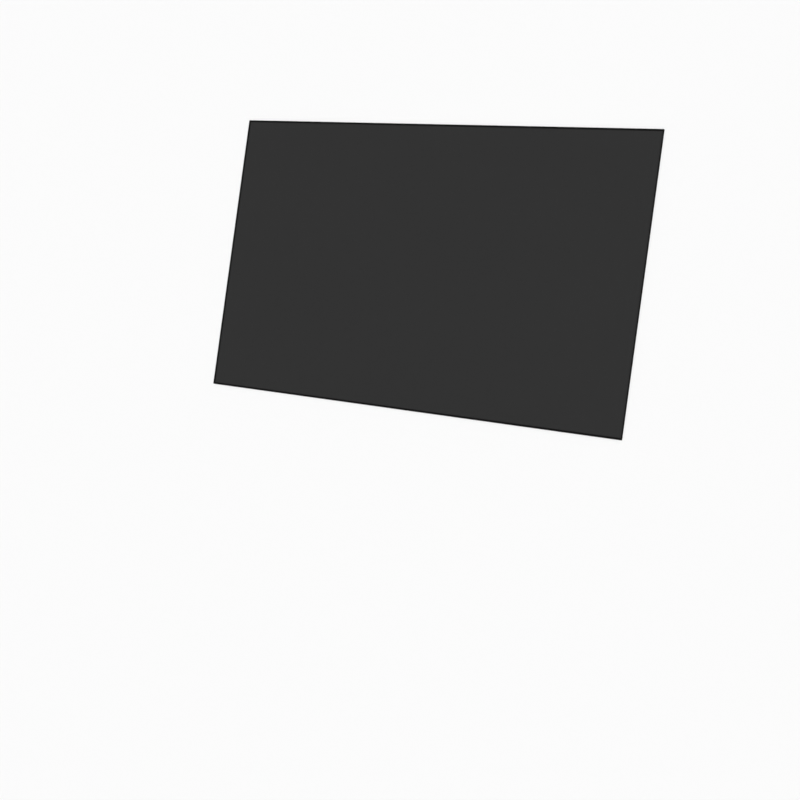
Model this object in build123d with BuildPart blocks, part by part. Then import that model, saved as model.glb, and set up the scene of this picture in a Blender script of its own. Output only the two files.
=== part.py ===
from build123d import *

import os

# Privacy filter: one stiff sheet of smoked louvre film, die-cut to a rectangle.
# It lies flat on its back face, on the XY plane, with the origin at the middle of that face.
# Seen from the front, +X runs right along the long sides and +Y up the short ones. +Z is out of the front.

# Driving dimensions, in millimetres
sheet_width = 344.0  # the 15.6 inch size, with sides of 16 to 9
sheet_height = 194.0
sheet_thickness = 0.5
corner_radius = 0.5  # the cutting die's corners are as good as square
front_edge_radius = 0.1  # the edge rolls over where the die enters
back_edge_break = 0.05  # and is only just broken where the die comes out

# Filter sheet: the die's outline, carried through the film and eased on both faces
with BuildPart() as filter_sheet:
    with BuildSketch(Plane.XY):
        RectangleRounded(sheet_width, sheet_height, corner_radius)
    extrude(amount=sheet_thickness)
    front_face = filter_sheet.faces().sort_by(Axis.Z)[-1]
    fillet(front_face.edges(), radius=front_edge_radius)
    back_face = filter_sheet.faces().sort_by(Axis.Z)[0]
    chamfer(back_face.edges(), length=back_edge_break)
filter_sheet.part.label = "filter_sheet"

os.makedirs("parts", exist_ok=True)
export_step(filter_sheet.part, "parts/filter_sheet.step")
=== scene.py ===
import bpy
import numpy as np
from mathutils import Matrix, Vector


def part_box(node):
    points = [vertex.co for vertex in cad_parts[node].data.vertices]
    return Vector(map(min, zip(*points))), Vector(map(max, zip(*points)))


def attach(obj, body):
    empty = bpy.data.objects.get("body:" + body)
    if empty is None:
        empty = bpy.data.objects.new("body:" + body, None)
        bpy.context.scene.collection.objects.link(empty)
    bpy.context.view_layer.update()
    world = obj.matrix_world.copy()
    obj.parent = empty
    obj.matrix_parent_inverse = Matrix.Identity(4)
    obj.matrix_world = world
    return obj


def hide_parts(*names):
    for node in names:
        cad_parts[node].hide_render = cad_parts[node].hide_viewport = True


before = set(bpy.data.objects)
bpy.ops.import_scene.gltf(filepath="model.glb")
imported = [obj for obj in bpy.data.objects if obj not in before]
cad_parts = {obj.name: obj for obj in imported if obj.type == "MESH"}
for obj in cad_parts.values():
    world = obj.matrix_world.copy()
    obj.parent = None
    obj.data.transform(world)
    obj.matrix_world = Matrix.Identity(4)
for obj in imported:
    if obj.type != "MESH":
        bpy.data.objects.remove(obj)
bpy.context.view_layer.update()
print("frame loaded with", len(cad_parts), "node")

noiseDetail = 2.0         # finer layers added to a noise texture
noiseSpan = (0.25, 0.75)  # where nearly all of its values then lie


# new node in a tree, with its sockets set by name
def addNode(tree, kind, **sockets):
    node = tree.nodes.new(kind)
    for name, value in sockets.items():
        node.inputs[name].default_value = value
    return node


# noise on the piece's own coordinates, one cell being size metres along x, y and z
def addNoise(tree, size):
    place = tree.nodes.new("ShaderNodeTexCoord")
    scaling = addNode(tree, "ShaderNodeMapping", Scale=[1 / s for s in size])
    noise = addNode(tree, "ShaderNodeTexNoise", Scale=1.0, Detail=noiseDetail)
    tree.links.new(place.outputs["Object"], scaling.inputs["Vector"])
    tree.links.new(scaling.outputs["Vector"], noise.inputs["Vector"])
    return noise.outputs["Fac"]


# carries a value from one range over to another, and holds it at the ends
def addRange(tree, value, before, after):
    limits = zip(("From Min", "From Max", "To Min", "To Max"), (*before, *after))
    node = addNode(tree, "ShaderNodeMapRange", **dict(limits))
    tree.links.new(value, node.inputs["Value"])
    return node.outputs["Result"]


# one step of arithmetic on sockets or plain numbers
def addMath(tree, operation, *terms):
    node = tree.nodes.new("ShaderNodeMath")
    node.operation = operation
    for term, socket in zip(terms, node.inputs):
        if isinstance(term, bpy.types.NodeSocket):
            tree.links.new(term, socket)
        else:
            socket.default_value = term
    return node.outputs["Value"]


# a grey as bright as value says
def addGrey(tree, value):
    grey = tree.nodes.new("ShaderNodeCombineColor")
    for name in ("Red", "Green", "Blue"):
        tree.links.new(value, grey.inputs[name])
    return grey.outputs["Color"]


# fine grain on a shader: where the noise is high the surface stands up by depth and is rougher
def addGrain(tree, shader, noise, roughness, depth):
    bump = addNode(tree, "ShaderNodeBump", Strength=1.0, Distance=depth)
    tree.links.new(noise, bump.inputs["Height"])
    tree.links.new(bump.outputs["Normal"], shader.inputs["Normal"])
    tree.links.new(addRange(tree, noise, noiseSpan, roughness), shader.inputs["Roughness"])


# a plain material, with the strength of its gloss, its node tree and its shader
def newMaterial(name, shine):
    material = bpy.data.materials.new(name)
    material.use_nodes = True
    shader = material.node_tree.nodes["Principled BSDF"]
    shader.inputs["Specular IOR Level"].default_value = shine
    return material, material.node_tree, shader


# the faces: smoked film with upright louvres inside and a satin finish outside
smokedFilm = {
    "grey": 0.0271,                 # neutral
    "alpha": 0.82,                  # of each face, so a thirtieth of the light comes through both
    "louvre": (0.0001, 0.03, 1.0),  # one louvre across, along and through the film
    "louvreTone": (0.93, 1.07),
    "cloud": (0.09, 0.06, 1.0),     # hardly seen drift in the smoke
    "cloudTone": (0.985, 1.015),
    "edgeLine": (0.0012, 0.0015),   # how far in from the cut a dark line starts and stops fading
    "edgeShift": 0.0004,            # how far right the line is set: the cut shows beside it there
    "edgeTone": 0.02,               # what is left of the grey in that line
    "grain": (0.0003, 0.0003, 0.0003),
    "grainHeight": 0.000002,
    "roughness": (0.36, 0.44),
    "shine": 0.2,                   # two fifths of a bare plastic's
}


# how far a point is from the nearest cut: the lesser of half the width less |x| and half the height
# less |y|, with x counted from a line that edgeShift sets to the right of the middle
def addFromCut(tree, half):
    place = tree.nodes.new("ShaderNodeTexCoord")
    centring = addNode(tree, "ShaderNodeMapping", Location=(-smokedFilm["edgeShift"], 0, 0))
    split = tree.nodes.new("ShaderNodeSeparateXYZ")
    tree.links.new(place.outputs["Object"], centring.inputs["Vector"])
    tree.links.new(centring.outputs["Vector"], split.inputs["Vector"])
    inward = [addMath(tree, "SUBTRACT", float(side), addMath(tree, "ABSOLUTE", split.outputs[axis]))
              for axis, side in zip("XY", half)]
    return addMath(tree, "MINIMUM", *inward)


# grey times the tones of the louvres, the clouding and the dark line along the cut
def makeSmokedFilm(half):
    material, tree, shader = newMaterial("smokedFilm", smokedFilm["shine"])
    louvres = addRange(tree, addNoise(tree, smokedFilm["louvre"]), noiseSpan, smokedFilm["louvreTone"])
    cloud = addRange(tree, addNoise(tree, smokedFilm["cloud"]), noiseSpan, smokedFilm["cloudTone"])
    line = addRange(tree, addFromCut(tree, half), smokedFilm["edgeLine"], (smokedFilm["edgeTone"], 1.0))
    grey = smokedFilm["grey"]
    for tone in (louvres, cloud, line):
        grey = addMath(tree, "MULTIPLY", tone, grey)
    tree.links.new(addGrey(tree, grey), shader.inputs["Base Color"])
    grain = addNoise(tree, smokedFilm["grain"])
    addGrain(tree, shader, grain, smokedFilm["roughness"], smokedFilm["grainHeight"])
    shader.inputs["Alpha"].default_value = smokedFilm["alpha"]
    return material


# the cut: near black, with the fine upright marks that a die leaves
cutEdge = {
    "grey": (0.003, 0.007),
    "marks": (0.00008, 0.00008, 0.002),
    "markDepth": 0.000004,
    "roughness": (0.45, 0.6),
    "shine": 0.2,
}


# one noise, drawn out along z, gives the marks their grey, their depth and their roughness
def makeCutEdge():
    material, tree, shader = newMaterial("cutEdge", cutEdge["shine"])
    marks = addNoise(tree, cutEdge["marks"])
    grey = addRange(tree, marks, noiseSpan, cutEdge["grey"])
    tree.links.new(addGrey(tree, grey), shader.inputs["Base Color"])
    addGrain(tree, shader, marks, cutEdge["roughness"], cutEdge["markDepth"])
    return material


# the sheet itself, lying on its back face
film = {
    "cornerRadius": 0.0005,    # as good as square
    "frontRoll": 0.0001,       # the die went in here
    "backBreak": 0.00005,      # and came out here
    "cells": (43, 24),         # squares of about 8 mm on each face
    "cornerCells": 6,          # more of them over each corner's radius
    "rollSteps": 6,            # round the front roll
}


# lines across a face from one edge to the other: close over the corner radius, even between
def faceLines(half, radius, cells):
    corner = half - np.linspace(0, radius, film["cornerCells"], endpoint=False)
    inner = np.linspace(radius - half, half - radius, cells + 1)
    return np.concatenate([-corner, inner, corner[::-1]])


# a rectangle with rounded corners, as a grid of points. Past a corner's centre a point lies a and b
# radii out along x and y, and the corner's square is bent to a quarter disc:
# a becomes a sqrt(1 - b^2 / 2) and b becomes b sqrt(1 - a^2 / 2)
def roundedFace(half, radius):
    lines = [faceLines(side, radius, cells) for side, cells in zip(half, film["cells"])]
    square = np.stack(np.meshgrid(*lines, indexing="ij"), axis=-1)
    centre = np.clip(square, radius - half, half - radius)
    out = (square - centre) / radius
    return centre + radius * out * np.sqrt(1 - out[..., ::-1] ** 2 / 2)


# the outermost points of a grid, anticlockwise from above
def gridRing(grid):
    return np.concatenate([grid[:-1, 0], grid[-1, :-1], grid[:0:-1, -1], grid[0, :0:-1]])


# the section of the cut from the front face to the back one, as distance in from the outline
# and height: a quarter circle of the roll's radius, then the wall down to the break
def cutSection(bottom, top):
    turn = np.linspace(0, np.pi / 2, film["rollSteps"] + 1)[1:]
    inset = film["frontRoll"] * (1 - np.sin(turn))
    height = top - film["frontRoll"] * (1 - np.cos(turn))
    return np.append(inset, 0), np.append(height, bottom + film["backBreak"])


# flat points raised to a height, or each row of them to a height of its own
def raised(flat, height):
    return np.dstack([flat, np.broadcast_to(height, flat.shape[:2])])


# the section carried round the outline: each ring is the outline, drawn in by the section's inset
# square to the edge, at the section's height
def cutWall(half, radius, bottom, top):
    outline = gridRing(roundedFace(half, radius))
    outward = (outline - np.clip(outline, radius - half, half - radius)) / radius
    inset, height = cutSection(bottom, top)
    return raised(outline - inset[:, None, None] * outward, height[:, None])


# each grid's points counted on from the last grid's, in rows and columns as they stand there
def numbered(grids):
    counts = [grid[..., 0].size for grid in grids]
    return [np.arange(end - count, end).reshape(grid.shape[:2])
            for grid, count, end in zip(grids, counts, np.cumsum(counts))]


# the four corners of each cell of a grid, anticlockwise from the side that the face points to
def cellsOf(grid):
    corners = (grid[:-1, :-1], grid[1:, :-1], grid[1:, 1:], grid[:-1, 1:])
    return np.stack(corners, axis=-1).reshape(-1, 4)


# one closed shell: the front face, the back face turned over, and the cut from the ring of the one
# to the ring of the other. Gives its points, the quads of both faces and the quads of the cut
def filmShell(half, bottom, top):
    radius, roll, edgeBreak = film["cornerRadius"], film["frontRoll"], film["backBreak"]
    front = raised(roundedFace(half - roll, radius - roll), top)
    back = raised(roundedFace(half - edgeBreak, radius - edgeBreak), bottom)
    grids = (front, back, cutWall(half, radius, bottom, top))
    points = np.concatenate([grid.reshape(-1, 3) for grid in grids])
    frontGrid, backGrid, wallRows = numbered(grids)
    rings = np.vstack([gridRing(frontGrid), wallRows, gridRing(backGrid)])
    faceQuads = np.concatenate([cellsOf(frontGrid), cellsOf(backGrid)[:, ::-1]])
    return points, faceQuads, cellsOf(np.column_stack([rings, rings[:, 0]]))


# the shell as a piece in the sheet's place: the first material is on its faces, the second on the cut
def makeFilm():
    low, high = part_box("filter_sheet")
    half = np.array(high[:2])  # the frame's origin is the middle of the back face
    points, faceQuads, cutQuads = filmShell(half, low[2], high[2])
    quads = np.concatenate([faceQuads, cutQuads])
    onCut = np.repeat([False, True], [len(faceQuads), len(cutQuads)])

    mesh = bpy.data.meshes.new("film")
    mesh.from_pydata(points, [], quads)
    mesh.polygons.foreach_set("material_index", onCut.astype(np.int32))
    mesh.polygons.foreach_set("use_smooth", onCut)
    mesh.materials.append(makeSmokedFilm(half))
    mesh.materials.append(makeCutEdge())
    mesh.update()

    piece = bpy.data.objects.new("film", mesh)
    bpy.context.scene.collection.objects.link(piece)
    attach(piece, "root")
    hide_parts("filter_sheet")
    print("film made with", len(quads), "quads")


makeFilm()

# a pale floor, just clear of the sheet's back face and with no gloss at all
floor = {"half": 30.0, "drop": 0.00005, "grey": 0.85, "shine": 0.0}


# one square, centred under the sheet
def makeFloor():
    half = floor["half"]
    corners = [(-half, -half, 0), (half, -half, 0), (half, half, 0), (-half, half, 0)]
    mesh = bpy.data.meshes.new("floor")
    mesh.from_pydata(np.array(corners) - (0, 0, floor["drop"]), [], [(0, 1, 2, 3)])
    material, _, shader = newMaterial("paleFloor", floor["shine"])
    shader.inputs["Base Color"].default_value = [floor["grey"]] * 3 + [1]
    mesh.materials.append(material)
    piece = bpy.data.objects.new("floor", mesh)
    bpy.context.scene.collection.objects.link(piece)
    print("floor laid")


makeFloor()

# soft light from high on the camera's side, so that no lamp is mirrored in the film
studio = {
    "lamps": (                 # name, way to the lamp, watts per square metre, degrees across
        ("key", (0.42, -0.25, 0.9), 1.86, 40),
        ("fill", (0.3, 0.4, 0.9), 1.14, 60),
    ),
    "horizon": 0.97,           # as bright as the floor, so that no line parts them
    "overhead": 0.25,
    "fade": (0.18, 0.36),      # height in the sky where the horizon's glow starts and stops fading
}


# two wide lamps, and a sky whose brightness falls with the height that each ray points to
def makeStudio():
    for name, way, strength, across in studio["lamps"]:
        lamp = bpy.data.lights.new(name, "SUN")
        lamp.energy = strength
        lamp.angle = np.radians(across)
        holder = bpy.data.objects.new(name, lamp)
        holder.rotation_mode = "QUATERNION"
        holder.rotation_quaternion = Vector(way).to_track_quat("Z", "Y")
        bpy.context.scene.collection.objects.link(holder)
    world = bpy.data.worlds.new("studio")
    world.use_nodes = True
    tree = world.node_tree
    ray = tree.nodes.new("ShaderNodeTexCoord")
    split = tree.nodes.new("ShaderNodeSeparateXYZ")
    tree.links.new(ray.outputs["Generated"], split.inputs["Vector"])
    glow = addRange(tree, split.outputs["Z"], studio["fade"], (studio["horizon"], studio["overhead"]))
    tree.links.new(addGrey(tree, glow), tree.nodes["Background"].inputs["Color"])
    bpy.context.scene.world = world
    bpy.context.scene.view_settings.view_transform = "Standard"
    print("studio lit by", len(studio["lamps"]), "lamps and the sky")


makeStudio()

# looks down on the sheet from the right of its middle, as far round as in the photograph
camera = {
    "eye": (0.7361, -0.0936, 0.9874),
    "aim": (-0.0018, -0.0906, 0.0),
    "up": (-0.1074, 0.9907, 0.0832),
    "lens": 82.3,              # mm
    "sensor": 36.0,            # mm across
}


# at the eye, with its back turned from the aim and its top towards up
def makeCamera():
    lens = bpy.data.cameras.new("camera")
    lens.lens = camera["lens"]
    lens.sensor_width = camera["sensor"]
    eye = Vector(camera["eye"])
    back = (eye - Vector(camera["aim"])).normalized()
    right = Vector(camera["up"]).cross(back).normalized()
    turned = Matrix((right, back.cross(right), back)).transposed()
    holder = bpy.data.objects.new("camera", lens)
    holder.matrix_world = Matrix.Translation(eye) @ turned.to_4x4()
    bpy.context.scene.collection.objects.link(holder)
    bpy.context.scene.camera = holder
    print("camera set", round(eye.length, 3), "m from the sheet's middle")


makeCamera()
